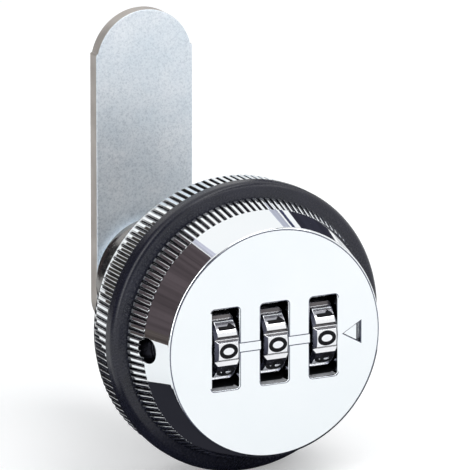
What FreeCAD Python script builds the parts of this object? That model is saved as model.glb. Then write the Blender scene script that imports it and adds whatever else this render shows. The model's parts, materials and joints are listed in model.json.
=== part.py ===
import FreeCAD, Part
import math
import os

V = FreeCAD.Vector

# Three-wheel combination cam lock for a locker door, in millimetres.
# The lock axis is Y. The origin is on the axis at the panel seat: the rear face
# of the gasket. The knob is towards -Y, the barrel and cam towards +Y, and the
# cam points to +Z, with the code dialled and the knob turned open.

# Knob: one polished cone, its rear part knurled as a grip
FACE_R = 18.0
GRIP_REAR_R = 20.7
GRIP_LENGTH = 3.8
GRIP_GROOVE_DEPTH = 0.5
GRIP_CHAMFER = 0.4
FACE_EDGE_R = 0.45
KNOB_WALL = 1.4

# Knurls: ribs round the grip and round the ring nut
RIB_COUNT = 120
RIB_TIP_SHARE = 0.52

# Windows and marks in the face
WHEEL_COUNT = 3
WHEEL_PITCH = 8.37
WINDOW_SIDE_GAP = 0.25
WINDOW_END_GAP = 0.45
WINDOW_CORNER_R = 0.5
INDEX_SPACING = 1.45
INDEX_LINE = 0.16
INDEX_DEPTH = 0.15
POINTER_TIP_X = 11.8
POINTER_LENGTH = 2.9
POINTER_HEIGHT = 3.3
POINTER_DEPTH = 0.8

# Dial wheels and the code sleeves inside them
DIAL_R = 5.9
DIAL_PROUD = 1.1
DIAL_WIDTH = 4.2
DIAL_POSITIONS = 10
DIAL_CHAMFER = 0.45
NOTCH_WIDTH = 1.05
NOTCH_DEPTH = 0.44
AXLE_R = 1.25
SLEEVE_R = 2.25
SLEEVE_FLANGE = 1.2
SLEEVE_FLANGE_GAP = 0.25
GATE_DEPTH = 0.7
KEY_HEIGHT = 0.5
KEY_WIDTH = 0.9

# Code reset: a push button in the side of the knob, on the dial axis
RESET_TRAVEL = 1.2
RESET_HOLE_R = 2.0
RESET_HOLE_FLOOR = 1.7
RESET_PIN_R = 1.25
RESET_BODY_R = 2.3
RESET_BOSS_R = 3.2
RESET_BOSS_HEIGHT = 0.9
BUTTON_FLOOR = 0.2

# Wheel carrier and detent spring, inside the knob
CHEEK = 0.8
CARRIER_BAR = 1.2
POCKET_GAP = 0.6
SPRING_LEAF = 0.3
SPRING_STRIP = 2.0
DETENT_REACH = 0.3
DETENT_WIDTH = 2.0
DETENT_TAIL = 1.0

# Locking plate and the two coil springs
LIFT = 0.7
PLATE_THICK = 0.8
PLATE_BAR = 2.2
FINGER_WIDTH = 1.9
FINGER_BELOW = 1.0
NOSE_RADIAL = 1.9
NOSE_HALF_WIDTH = 1.0
STEM_HALF_WIDTH = 2.2
LOCK_SPRING_R = 1.35
LOCK_SPRING_WIRE_R = 0.2
LOCK_SPRING_TURNS = 5
SPRING_POST_R = 0.85
SPRING_POST_LENGTH = 1.6
RESET_SPRING_R = 1.85
RESET_SPRING_WIRE_R = 0.15
RESET_SPRING_TURNS = 2
RESET_SPRING_ROOM = 2.16
COIL_STEPS = 8
COIL_SIDES = 6

# Spindle with its drive plate, screwed to the back of the knob
DRIVE_PLATE = 0.8
SPINDLE_R = 5.5
SQUARE_INSET = 0.12
SCREW_ANGLE = 47.9
SCREW_INSET = 2.44
SCREW_R = 0.8
SCREW_HEAD_R = 1.7
SCREW_LENGTH = 4.0
SCREW_END_ROOM = 0.5
BOSS_R = 1.9

# Gasket, barrel and ring nut
GASKET_OVERHANG = 2.2
GASKET_THICK = 2.4
GASKET_EDGE_R = 1.1
DISH_R = 11.6
DISH_FLOOR = 0.95
NOSE_TRACK = 1.8
BARREL_R = 9.5
BARREL_LENGTH = 31.5
BARREL_CHAMFER = 0.6
NUT_OVERHANG = 1.8
NUT_GROOVE_DEPTH = 0.5
NUT_LENGTH = 6.15
NUT_CHAMFER_LENGTH = 1.5
NUT_CHAMFER_DEPTH = 0.62
NUT_FRONT_CHAMFER = 0.25

# Cam, its stop washer and its screw
STOP_WASHER_THICK = 1.4
STOP_WASHER_INSET = 1.1
STOP_LUG_INSET = 0.7
STOP_LUG_LENGTH = 1.5
STOP_LUG_HALF_ANGLE = 12.0
TURN_ANGLE = 90.0
CAM_THICK = 2.32
CAM_WIDTH = 16.66
CAM_TIP_Z = 42.4
CAM_TIP_INSET = 0.09
CAM_SHOULDER = 0.3
CAM_HEEL_Z = 8.6
CAM_CORNER_R = 5.0
LOCK_WASHER_R = 5.2
LOCK_WASHER_THICK = 1.2
LOCK_WASHER_SLIT = 0.8
CAM_SCREW_R = 2.45
CAM_SCREW_LENGTH = 10.0
CAM_SCREW_FLATS = 8.0
CAM_SCREW_HEAD = 3.5
CAM_SCREW_CROWN = 1.0

# Clearances
RUN = 0.05
PLATE_GAP = 0.05
BUTT_GAP = 0.07
KNOB_GAP = 0.1
NOSE_GAP = 0.12
SIDE_GAP = 0.15
EDGE_GAP = 0.2
DIAL_GAP = 0.25
SLOT_GAP = 0.4
STOP_MARGIN = 1.0

# Cutters run this far past the faces that they cut, and flats make up a small round edge
PAST = 1.0
EDGE_FLATS = 3

# Radii that follow from the knob
CAVITY_R = FACE_R - KNOB_WALL
DRIVE_PLATE_R = CAVITY_R - EDGE_GAP
FLANGE_R = CAVITY_R - EDGE_GAP
CARRIER_R = CAVITY_R - 2 * EDGE_GAP
SCREW_CIRCLE_R = CAVITY_R - SCREW_INSET
GASKET_R = GRIP_REAR_R + GASKET_OVERHANG
GASKET_BORE_R = FLANGE_R + SLOT_GAP
NUT_R = GRIP_REAR_R + NUT_OVERHANG
NOSE_R = DISH_R + NOSE_TRACK
SPINDLE_SQUARE = math.sqrt(2) * (SPINDLE_R - SQUARE_INSET)
STOP_WASHER_R = BARREL_R - STOP_WASHER_INSET
STOP_LUG_R0 = SPINDLE_R + STOP_LUG_INSET

# Stations along the lock axis, from the panel seat
KNOB_REAR_Y = -(GASKET_THICK + KNOB_GAP)
DRIVE_REAR_Y = KNOB_REAR_Y + DRIVE_PLATE
FLANGE_THICK = -(DRIVE_REAR_Y + KNOB_GAP)
DIAL_REAR_Y = -(DISH_FLOOR + DIAL_GAP)
AXLE_Y = DIAL_REAR_Y - DIAL_R
FACE_Y = AXLE_Y - DIAL_R + DIAL_PROUD
GRIP_FRONT_Y = KNOB_REAR_Y - GRIP_LENGTH
PLATE_REAR_Y = KNOB_REAR_Y - PLATE_GAP - LIFT
PLATE_FRONT_Y = PLATE_REAR_Y - PLATE_THICK
SLEEVE_FLANGE_R = PLATE_FRONT_Y - PLATE_GAP - AXLE_Y
CAVITY_FRONT_Y = AXLE_Y - SLEEVE_FLANGE_R - KNOB_GAP
CARRIER_REAR_Y = PLATE_FRONT_Y - SIDE_GAP
NOSE_TIP_Y = -FLANGE_THICK - NOSE_GAP
STOP_WASHER_Y = BARREL_LENGTH + KNOB_GAP
CAM_Y = STOP_WASHER_Y + STOP_WASHER_THICK
CAM_REAR_Y = CAM_Y + CAM_THICK
SPINDLE_END_Y = CAM_REAR_Y - EDGE_GAP
SCREW_SEAT_Y = CAM_REAR_Y + LOCK_WASHER_THICK

# Stations along the dial axis
DIAL_XS = [(index - (WHEEL_COUNT - 1) / 2) * WHEEL_PITCH for index in range(WHEEL_COUNT)]
WINDOW_WIDTH = DIAL_WIDTH + 2 * WINDOW_SIDE_GAP
FLANGE_START = DIAL_WIDTH / 2 + SLEEVE_FLANGE_GAP
FLANGE_END = FLANGE_START + SLEEVE_FLANGE
SLEEVE_LENGTH = WHEEL_PITCH - BUTT_GAP
SLEEVE_LEAD = SLEEVE_LENGTH - FLANGE_END - RUN
SLEEVE_TRAIN_LEFT = DIAL_XS[0] - SLEEVE_LEAD
SLEEVE_TRAIN_RIGHT = DIAL_XS[-1] - SLEEVE_LEAD + SLEEVE_LENGTH
KEY_END = DIAL_WIDTH / 2 - RESET_TRAVEL
CHEEK_RIGHT_OF_WALL = DIAL_WIDTH / 2 + SIDE_GAP
LEFT_CHEEK_X = DIAL_XS[0] - CHEEK_RIGHT_OF_WALL - CHEEK
RIGHT_CHEEK_X = SLEEVE_TRAIN_RIGHT + BUTT_GAP + RESET_SPRING_ROOM
RESET_BOSS_X = CAVITY_R - RESET_BOSS_HEIGHT
RESET_STEP_X = RESET_BOSS_X + RESET_HOLE_FLOOR
BUTTON_RIGHT_X = SLEEVE_TRAIN_LEFT - RUN
BUTTON_LEFT_X = -RESET_BOSS_X + RUN
AXLE_BORE_END_X = BUTTON_LEFT_X + BUTTON_FLOOR
AXLE_LEFT_X = AXLE_BORE_END_X + RESET_TRAVEL + SIDE_GAP

# Heights from the dial axis
WINDOW_HEIGHT = 2 * (DIAL_R + WINDOW_END_GAP)
POCKET_Z = DIAL_R + POCKET_GAP
CARRIER_Z = POCKET_Z + CARRIER_BAR
PLATE_BAR_Z0 = DIAL_R + KNOB_GAP
PLATE_BAR_Z1 = PLATE_BAR_Z0 + PLATE_BAR
NOSE_Z0 = NOSE_R - NOSE_RADIAL / 2
NOSE_Z1 = NOSE_R + NOSE_RADIAL / 2
LOCK_SPRING_Z = (PLATE_BAR_Z1 + NOSE_Z0) / 2


def box(x0, x1, y0, y1, z0, z1):
    """Box between two corners."""
    return Part.makeBox(x1 - x0, y1 - y0, z1 - z0, V(x0, y0, z0))


def rod_x(radius, x0, x1, y=0.0, z=0.0):
    """Cylinder along X."""
    return Part.makeCylinder(radius, x1 - x0, V(x0, y, z), V(1, 0, 0))


def rod_y(radius, y0, y1, x=0.0, z=0.0):
    """Cylinder along the lock axis."""
    return Part.makeCylinder(radius, y1 - y0, V(x, y0, z), V(0, 1, 0))


def cone_y(radius0, radius1, y0, y1, x=0.0, z=0.0):
    """Cone along the lock axis."""
    return Part.makeCone(radius0, radius1, y1 - y0, V(x, y0, z), V(0, 1, 0))


def prism_y(corners, y0, y1):
    """Straight prism along the lock axis from (x, z) corners."""
    points = [V(x, y0, z) for x, z in corners]
    outline = Part.makePolygon(points + points[:1])
    return Part.Face(outline).extrude(V(0, y1 - y0, 0))


def rounded_box_y(x0, x1, y0, y1, z0, z1, radius):
    """Box with its four edges along Y rounded."""
    solid = box(x0, x1, y0, y1, z0, z1)
    axis = V(0, 1, 0)
    edges = [edge for edge in solid.Edges if edge.tangentAt(edge.FirstParameter).cross(axis).Length < 0.5]
    return solid.makeFillet(radius, edges)


def turned_y(profile):
    """Body turned about the lock axis from (radius, y) corners."""
    points = [V(radius, y, 0) for radius, y in profile]
    outline = Part.makePolygon(points + points[:1])
    return Part.Face(outline).revolve(V(0, 0, 0), V(0, 1, 0), 360).Solids[0]


def edge_flats(centre_r, centre_y, radius, end_angle):
    """Profile corners round a front edge, from the face's normal to end_angle above the radius."""
    points = []
    for step in range(EDGE_FLATS + 1):
        angle = math.pi / 2 + (end_angle - math.pi / 2) * step / EDGE_FLATS
        points.append((centre_r + radius * math.cos(angle), centre_y - radius * math.sin(angle)))
    return points


def sector_y(angle0, angle1, radius, y0, y1):
    """Pie slice along the lock axis, its angles in degrees from +X towards +Z."""
    steps = max(1, math.ceil((angle1 - angle0) / 30.0))
    half_step = math.radians(angle1 - angle0) / steps / 2
    corner_r = radius / math.cos(half_step)
    corners = [(0.0, 0.0)]
    for step in range(steps + 1):
        angle = math.radians(angle0) + 2 * half_step * step
        corners.append((corner_r * math.cos(angle), corner_r * math.sin(angle)))
    return prism_y(corners, y0, y1)


def ribbed_outline(tip_r, groove_depth, scale, y):
    """Knurl section: each rib has a flat tip and a sharp valley after it."""
    points = []
    valley_r = tip_r - groove_depth
    for rib in range(RIB_COUNT):
        for offset, radius in ((-RIB_TIP_SHARE / 2, tip_r), (RIB_TIP_SHARE / 2, tip_r), (0.5, valley_r)):
            angle = 2 * math.pi * (rib + offset) / RIB_COUNT
            points.append(V(scale * radius * math.cos(angle), y, scale * radius * math.sin(angle)))
    return Part.makePolygon(points + points[:1])


def ribbed_body(tip_r0, tip_r1, groove_depth, y0, y1):
    """Knurled body, its ribs full depth at y1 and scaled with the radius at y0, so all its faces are flat."""
    outlines = [ribbed_outline(tip_r1, groove_depth, tip_r0 / tip_r1, y0),
                ribbed_outline(tip_r1, groove_depth, 1.0, y1)]
    return Part.makeLoft(outlines, True, True)


def bevel_blank(radius0, radius1, y0, y1):
    """Frustum with one flat to each rib: what it shares with a knurled body has bevelled rib ends."""
    outlines = []
    for radius, y in ((radius0, y0), (radius1, y1)):
        corner_r = radius / math.cos(math.pi / RIB_COUNT)
        angles = [2 * math.pi * (rib + 0.5) / RIB_COUNT for rib in range(RIB_COUNT)]
        points = [V(corner_r * math.cos(angle), y, corner_r * math.sin(angle)) for angle in angles]
        outlines.append(Part.makePolygon(points + points[:1]))
    return Part.makeLoft(outlines, True, True)


def coil_y(mean_r, wire_r, y0, y1, turns):
    """Compression spring round the lock axis: six-sided sections of the wire along its helix."""
    steps = turns * COIL_STEPS
    rise = (y1 - y0 - 2 * wire_r) / steps
    sections = []
    for step in range(steps + 1):
        angle = 2 * math.pi * step / COIL_STEPS
        centre_y = y0 + wire_r + rise * step
        points = []
        for corner in range(COIL_SIDES):
            roll = 2 * math.pi * (corner + 0.5) / COIL_SIDES
            radius = mean_r + wire_r * math.cos(roll)
            corner_y = centre_y + wire_r * math.sin(roll)
            points.append(V(radius * math.cos(angle), corner_y, radius * math.sin(angle)))
        sections.append(Part.makePolygon(points + points[:1]))
    return Part.makeLoft(sections, True, True)


def one_solid(shape):
    """Tidy a boolean result and return its single solid."""
    cleaned = shape.removeSplitter()
    if len(cleaned.Solids) != 1:
        raise ValueError("expected one solid, got %d" % len(cleaned.Solids))
    return cleaned.Solids[0]


def cone_slope():
    """Growth of the cone's radius per millimetre along the lock axis."""
    return (GRIP_REAR_R - FACE_R) / (KNOB_REAR_Y - FACE_Y)


def cone_radius(y):
    """Radius of the knob's cone at a station."""
    return FACE_R + cone_slope() * (y - FACE_Y)


def screw_places():
    """The two screw axes (x, z) at the back of the knob."""
    angle = math.radians(SCREW_ANGLE)
    x = SCREW_CIRCLE_R * math.cos(angle)
    z = SCREW_CIRCLE_R * math.sin(angle)
    return [(x, z), (-x, -z)]


def pointer():
    """Triangular pocket in the face, its tip towards the windows."""
    half = POINTER_HEIGHT / 2
    base_x = POINTER_TIP_X + POINTER_LENGTH
    corners = [(POINTER_TIP_X, 0.0), (base_x, half), (base_x, -half)]
    return prism_y(corners, FACE_Y - PAST, FACE_Y + POINTER_DEPTH)


def index_lines():
    """Two fine lines in the face between each pair of windows."""
    lines = []
    for left_x, right_x in zip(DIAL_XS[:-1], DIAL_XS[1:]):
        for side in (-1, 1):
            centre_z = side * INDEX_SPACING / 2
            lines.append(box(left_x, right_x, FACE_Y - PAST, FACE_Y + INDEX_DEPTH,
                             centre_z - INDEX_LINE / 2, centre_z + INDEX_LINE / 2))
    return lines


def window(centre_x):
    """Cutter for the window of one dial wheel."""
    return rounded_box_y(centre_x - WINDOW_WIDTH / 2, centre_x + WINDOW_WIDTH / 2,
                         FACE_Y - PAST, CAVITY_FRONT_Y + PAST,
                         -WINDOW_HEIGHT / 2, WINDOW_HEIGHT / 2, WINDOW_CORNER_R)


def reset_boss():
    """Boss inside the knob's wall for the reset button's pin, with a web down to the face."""
    wall_x = math.sqrt(CAVITY_R ** 2 - RESET_BOSS_R ** 2) + KNOB_WALL / 2
    pad = rod_x(RESET_BOSS_R, -wall_x, -RESET_BOSS_X, AXLE_Y)
    web = box(-wall_x, -RESET_BOSS_X, CAVITY_FRONT_Y, AXLE_Y, -RESET_BOSS_R, RESET_BOSS_R)
    return [pad, web]


def knob_shell():
    """Plated cup: cone, knurled grip, windows, screw bosses and the reset hole."""
    slope = cone_slope()
    edge_centre_r = FACE_R + FACE_EDGE_R * (slope - math.hypot(1.0, slope))
    edge = edge_flats(edge_centre_r, FACE_Y + FACE_EDGE_R, FACE_EDGE_R, math.atan(slope))
    grip_front_r = cone_radius(GRIP_FRONT_Y)
    front = turned_y([(0.0, FACE_Y)] + edge + [(grip_front_r, GRIP_FRONT_Y), (0.0, GRIP_FRONT_Y)])
    grip = ribbed_body(grip_front_r, GRIP_REAR_R, GRIP_GROOVE_DEPTH, GRIP_FRONT_Y, KNOB_REAR_Y)
    bevel_r = GRIP_REAR_R - GRIP_CHAMFER
    grip = grip.common(bevel_blank(bevel_r + GRIP_LENGTH, bevel_r, GRIP_FRONT_Y, KNOB_REAR_Y))
    shell = front.fuse(grip).cut(rod_y(CAVITY_R, CAVITY_FRONT_Y, KNOB_REAR_Y + PAST))
    inner = [rod_y(BOSS_R, CAVITY_FRONT_Y, KNOB_REAR_Y, x, z) for x, z in screw_places()]
    post_end_y = CAVITY_FRONT_Y + SPRING_POST_LENGTH
    inner.append(rod_y(SPRING_POST_R, CAVITY_FRONT_Y, post_end_y, 0.0, LOCK_SPRING_Z))
    shell = shell.fuse(inner + reset_boss())
    cuts = [window(x) for x in DIAL_XS] + index_lines()
    cuts.append(pointer())
    cuts += [rod_y(SCREW_R + RUN, KNOB_REAR_Y - SCREW_LENGTH - SCREW_END_ROOM, KNOB_REAR_Y + PAST, x, z)
             for x, z in screw_places()]
    cuts.append(rod_x(RESET_HOLE_R, -GRIP_REAR_R - PAST, -RESET_STEP_X, AXLE_Y))
    cuts.append(rod_x(RESET_PIN_R + RUN, -GRIP_REAR_R, -RESET_BOSS_X + PAST, AXLE_Y))
    return one_solid(shell.cut(cuts))


def dial_wheel(centre_x):
    """Dial wheel: ten lands between notches, and a keyed bore with a release pocket."""
    half = DIAL_WIDTH / 2
    rim_r = DIAL_R - DIAL_CHAMFER
    body = rod_x(DIAL_R, -half + DIAL_CHAMFER, half - DIAL_CHAMFER)
    left = Part.makeCone(rim_r, DIAL_R, DIAL_CHAMFER, V(-half, 0, 0), V(1, 0, 0))
    right = Part.makeCone(DIAL_R, rim_r, DIAL_CHAMFER, V(half - DIAL_CHAMFER, 0, 0), V(1, 0, 0))
    wheel = body.fuse([left, right])
    bore_r = SLEEVE_R + RUN
    groove_r = bore_r + KEY_HEIGHT
    cuts = [rod_x(bore_r, -half - PAST, half + PAST), rod_x(groove_r, KEY_END, half + PAST)]
    for position in range(DIAL_POSITIONS):
        turn = 360.0 * position / DIAL_POSITIONS
        notch = notch_cutter()
        notch.rotate(V(0, 0, 0), V(1, 0, 0), turn + 180.0 / DIAL_POSITIONS)
        groove = box(-half - PAST, KEY_END, 0.0, groove_r, -KEY_WIDTH / 2 - RUN, KEY_WIDTH / 2 + RUN)
        groove.rotate(V(0, 0, 0), V(1, 0, 0), turn)
        cuts += [notch, groove]
    wheel = one_solid(wheel.cut(cuts))
    wheel.translate(V(centre_x, AXLE_Y, 0))
    return wheel


def notch_cutter():
    """V groove along X at the front of a wheel."""
    outer = DIAL_R + PAST
    spread = NOTCH_WIDTH / 2 * (PAST + NOTCH_DEPTH) / NOTCH_DEPTH
    half = DIAL_WIDTH / 2 + PAST
    points = [V(-half, -DIAL_R + NOTCH_DEPTH, 0), V(-half, -outer, spread), V(-half, -outer, -spread)]
    outline = Part.makePolygon(points + points[:1])
    return Part.Face(outline).extrude(V(2 * half, 0, 0))


def code_sleeve(centre_x):
    """Sleeve keyed in a dial wheel: its flange has a flat that faces the locking plate at the code."""
    sleeve = rod_x(SLEEVE_R, -SLEEVE_LEAD, SLEEVE_LENGTH - SLEEVE_LEAD)
    flat_y = SLEEVE_FLANGE_R - GATE_DEPTH
    flat = box(FLANGE_START - PAST, FLANGE_END + PAST, flat_y, SLEEVE_FLANGE_R + PAST,
               -SLEEVE_FLANGE_R, SLEEVE_FLANGE_R)
    flange = rod_x(SLEEVE_FLANGE_R, FLANGE_START, FLANGE_END).cut(flat)
    key_root = (AXLE_R + SLEEVE_R) / 2
    key = box(KEY_END - RESET_TRAVEL + RUN, KEY_END - RUN, -SLEEVE_R - KEY_HEIGHT + RUN, -key_root,
              -KEY_WIDTH / 2, KEY_WIDTH / 2)
    sleeve = sleeve.fuse([flange, key])
    sleeve = one_solid(sleeve.cut(rod_x(AXLE_R + RUN, -SLEEVE_LEAD - PAST, SLEEVE_LENGTH + PAST)))
    sleeve.translate(V(centre_x, AXLE_Y, 0))
    return sleeve


def wheel_carrier():
    """Moulded frame that holds the axle and parts the wheels."""
    right_x = RIGHT_CHEEK_X + CHEEK
    block = box(LEFT_CHEEK_X, right_x, CAVITY_FRONT_Y, CARRIER_REAR_Y, -CARRIER_Z, CARRIER_Z)
    pad = box(LEFT_CHEEK_X + CHEEK, DIAL_XS[-1], CARRIER_REAR_Y - CHEEK, KNOB_REAR_Y, -CARRIER_Z, -POCKET_Z)
    frame = block.fuse(pad).common(rod_y(CARRIER_R, CAVITY_FRONT_Y, KNOB_REAR_Y))
    cuts = []
    for index, x in enumerate(DIAL_XS):
        last = index == WHEEL_COUNT - 1
        pocket_end = RIGHT_CHEEK_X if last else DIAL_XS[index + 1] - CHEEK_RIGHT_OF_WALL - CHEEK
        cuts.append(box(x - CHEEK_RIGHT_OF_WALL, pocket_end, CAVITY_FRONT_Y - PAST, CARRIER_REAR_Y + PAST,
                        -POCKET_Z, POCKET_Z))
        cuts.append(box(x - DETENT_WIDTH / 2 - SIDE_GAP, x + DETENT_WIDTH / 2 + SIDE_GAP,
                        AXLE_Y - 2 * DETENT_TAIL, CARRIER_REAR_Y + PAST, 0.0, CARRIER_Z + PAST))
    cuts.append(rod_x(SLEEVE_R + 2 * RUN, LEFT_CHEEK_X - PAST, DIAL_XS[-1], AXLE_Y))
    cuts.append(rod_x(AXLE_R, DIAL_XS[-1], right_x + PAST, AXLE_Y))
    return one_solid(frame.cut(cuts))


def dial_axle():
    """Straight pin: fixed in the right cheek, its left end in the reset button."""
    return rod_x(AXLE_R, AXLE_LEFT_X, RIGHT_CHEEK_X + CHEEK, AXLE_Y)


def detent_spring():
    """Leaf comb on top of the carrier with one bent finger in each wheel's notch."""
    strip_y = CARRIER_REAR_Y - SPRING_STRIP
    root_y = strip_y + SPRING_LEAF
    tail_y = AXLE_Y - DETENT_TAIL
    nib_z = DIAL_R - DETENT_REACH
    strip = box(LEFT_CHEEK_X + CHEEK, DIAL_XS[-1] + WINDOW_WIDTH / 2, strip_y, CARRIER_REAR_Y,
                CARRIER_Z, CARRIER_Z + SPRING_LEAF)
    lower = [(root_y, CARRIER_Z), (strip_y, CARRIER_Z), (AXLE_Y, nib_z), (tail_y, nib_z + DETENT_TAIL)]
    bent_leaf = 1.5 * SPRING_LEAF
    upper = [(tail_y, nib_z + DETENT_TAIL + bent_leaf), (AXLE_Y, nib_z + bent_leaf),
             (strip_y, CARRIER_Z + SPRING_LEAF), (root_y, CARRIER_Z + SPRING_LEAF)]
    fingers = []
    for x in DIAL_XS:
        points = [V(x - DETENT_WIDTH / 2, y, z) for y, z in lower + upper]
        outline = Part.makePolygon(points + points[:1])
        fingers.append(Part.Face(outline).extrude(V(DETENT_WIDTH, 0, 0)))
    return one_solid(strip.fuse(fingers))


def locking_plate():
    """Comb with one finger behind each code sleeve and a nose that drops into the barrel's flange."""
    finger_x = (FLANGE_START + FLANGE_END + RESET_TRAVEL) / 2
    left_x = DIAL_XS[0] + finger_x - FINGER_WIDTH / 2
    right_x = DIAL_XS[-1] + finger_x + FINGER_WIDTH / 2
    pieces = [box(left_x, right_x, PLATE_FRONT_Y, PLATE_REAR_Y, PLATE_BAR_Z0, PLATE_BAR_Z1)]
    for x in DIAL_XS:
        centre = x + finger_x
        pieces.append(box(centre - FINGER_WIDTH / 2, centre + FINGER_WIDTH / 2, PLATE_FRONT_Y, PLATE_REAR_Y,
                          -FINGER_BELOW, PLATE_BAR_Z0))
    pieces.append(box(-STEM_HALF_WIDTH, STEM_HALF_WIDTH, PLATE_FRONT_Y, PLATE_REAR_Y, PLATE_BAR_Z1, NOSE_Z1))
    pieces.append(box(-NOSE_HALF_WIDTH, NOSE_HALF_WIDTH, PLATE_REAR_Y, NOSE_TIP_Y, NOSE_Z0, NOSE_Z1))
    return one_solid(pieces[0].fuse(pieces[1:]))


def lock_spring():
    """Coil that presses the locking plate towards the barrel."""
    coil = coil_y(LOCK_SPRING_R, LOCK_SPRING_WIRE_R, CAVITY_FRONT_Y, PLATE_FRONT_Y, LOCK_SPRING_TURNS)
    coil.translate(V(0, 0, LOCK_SPRING_Z))
    return coil


def reset_button():
    """Stepped plunger: its pin end is reached through the reset hole."""
    body = rod_x(RESET_BODY_R, BUTTON_LEFT_X, BUTTON_RIGHT_X, AXLE_Y)
    pin = rod_x(RESET_PIN_R, -RESET_STEP_X, BUTTON_LEFT_X, AXLE_Y)
    bore = rod_x(AXLE_R + RUN, AXLE_BORE_END_X, BUTTON_RIGHT_X + PAST, AXLE_Y)
    return one_solid(body.fuse(pin).cut(bore))


def reset_spring():
    """Coil on the axle that returns the sleeves and the button."""
    coil = coil_y(RESET_SPRING_R, RESET_SPRING_WIRE_R, 0.0, RESET_SPRING_ROOM, RESET_SPRING_TURNS)
    coil.rotate(V(0, 0, 0), V(0, 0, 1), -90)
    coil.translate(V(SLEEVE_TRAIN_RIGHT + BUTT_GAP, AXLE_Y, 0))
    return coil


def spindle():
    """Drive plate and spindle in one casting, slotted for the wheels."""
    plate = rod_y(DRIVE_PLATE_R, KNOB_REAR_Y, DRIVE_REAR_Y)
    shank = rod_y(SPINDLE_R, KNOB_REAR_Y, BARREL_LENGTH)
    half = SPINDLE_SQUARE / 2
    square = box(-half, half, BARREL_LENGTH, SPINDLE_END_Y, -half, half)
    solid = plate.fuse([shank, square])
    chord = math.sqrt(DIAL_R ** 2 - (KNOB_REAR_Y - AXLE_Y) ** 2)
    slot_z = chord + SLOT_GAP
    slot_x = WINDOW_WIDTH / 2 + SIDE_GAP
    cuts = [box(x - slot_x, x + slot_x, KNOB_REAR_Y - PAST, DIAL_REAR_Y + DIAL_GAP, -slot_z, slot_z)
            for x in DIAL_XS]
    nose_x = NOSE_HALF_WIDTH + SIDE_GAP
    cuts.append(box(-nose_x, nose_x, KNOB_REAR_Y - PAST, DRIVE_REAR_Y + PAST,
                    NOSE_Z0 - 2 * SIDE_GAP, NOSE_Z1 + 2 * SIDE_GAP))
    for x, z in screw_places():
        cuts.append(rod_y(SCREW_R + 2 * RUN, KNOB_REAR_Y - PAST, DRIVE_REAR_Y + PAST, x, z))
        cuts.append(cone_y(SCREW_R + RUN, SCREW_HEAD_R + RUN, KNOB_REAR_Y, DRIVE_REAR_Y, x, z))
    cuts.append(rod_y(CAM_SCREW_R + RUN, SCREW_SEAT_Y - CAM_SCREW_LENGTH - PAST, SPINDLE_END_Y + PAST))
    return one_solid(solid.cut(cuts))


def plate_screws():
    """Two countersunk screws that hold the drive plate to the knob."""
    screws = []
    for x, z in screw_places():
        shank = rod_y(SCREW_R, KNOB_REAR_Y - SCREW_LENGTH, DRIVE_REAR_Y, x, z)
        head = cone_y(SCREW_R, SCREW_HEAD_R, KNOB_REAR_Y, DRIVE_REAR_Y, x, z)
        screws.append(one_solid(shank.fuse(head)))
    return Part.makeCompound(screws)


def rubber_gasket():
    """Rubber ring between the knob's rim and the panel, its front edge rounded."""
    edge = edge_flats(GASKET_R - GASKET_EDGE_R, GASKET_EDGE_R - GASKET_THICK, GASKET_EDGE_R, 0.0)
    return turned_y([(GASKET_BORE_R, -GASKET_THICK)] + edge + [(GASKET_R, 0.0), (GASKET_BORE_R, 0.0)])


def lift_ramp():
    """Recess in the flange: deepest where the nose drops in, rising to the face a quarter turn on."""
    track_in = NOSE_Z0 - 2 * SIDE_GAP
    track_out = NOSE_Z1 + 2 * SIDE_GAP
    wall_angle = math.degrees((NOSE_HALF_WIDTH + 2 * SIDE_GAP) / track_in)
    front_y = -FLANGE_THICK - PAST
    track = rod_y(track_out, front_y, 0.0).cut(rod_y(track_in, front_y - PAST, PAST))
    sector = sector_y(TURN_ANGLE / 2, 90.0 + TURN_ANGLE + wall_angle, FLANGE_R, front_y - PAST, PAST)
    reach = 2 * FLANGE_R
    middle_y = -FLANGE_THICK + LIFT / 2
    tilt = math.degrees(math.atan(LIFT / 2 / math.sin(math.radians(TURN_ANGLE / 2)) / NOSE_R))
    front = box(-reach, reach, middle_y - reach, middle_y, -reach, reach)
    front.rotate(V(0, middle_y, 0), V(-1, 0, 1), -tilt)
    return track.common(sector).common(front)


def threaded_barrel():
    """Fixed barrel: dished flange with the lift ramp, bored shank and a stop gap at its end."""
    chamfer_r = BARREL_R - BARREL_CHAMFER
    blank = turned_y([
        (SPINDLE_R + RUN, -DISH_FLOOR),
        (DISH_R, -DISH_FLOOR),
        (DISH_R, -FLANGE_THICK),
        (FLANGE_R, -FLANGE_THICK),
        (FLANGE_R, 0.0),
        (BARREL_R, 0.0),
        (BARREL_R, BARREL_LENGTH - BARREL_CHAMFER),
        (chamfer_r, BARREL_LENGTH),
        (SPINDLE_R + RUN, BARREL_LENGTH),
    ])
    gap_half = STOP_LUG_HALF_ANGLE + STOP_MARGIN
    stop_y = BARREL_LENGTH - STOP_LUG_LENGTH - 2 * SIDE_GAP
    stop_gap = sector_y(-gap_half, TURN_ANGLE + gap_half, BARREL_R + PAST, stop_y, BARREL_LENGTH + PAST)
    return one_solid(blank.cut([lift_ramp(), stop_gap]))


def ring_nut():
    """Knurled nut that clamps the panel against the gasket: its ribs run out to points at the back."""
    body = ribbed_body(NUT_R, NUT_R, NUT_GROOVE_DEPTH, 0.0, NUT_LENGTH)
    front_r = NUT_R - NUT_FRONT_CHAMFER
    rear_r = NUT_R - NUT_CHAMFER_DEPTH
    rear_slope = NUT_CHAMFER_DEPTH / NUT_CHAMFER_LENGTH
    body = body.common(bevel_blank(front_r, front_r + NUT_LENGTH, 0.0, NUT_LENGTH))
    body = body.common(bevel_blank(rear_r + rear_slope * NUT_LENGTH, rear_r, 0.0, NUT_LENGTH))
    return one_solid(body.cut(rod_y(BARREL_R + RUN, -PAST, NUT_LENGTH + PAST)))


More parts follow.
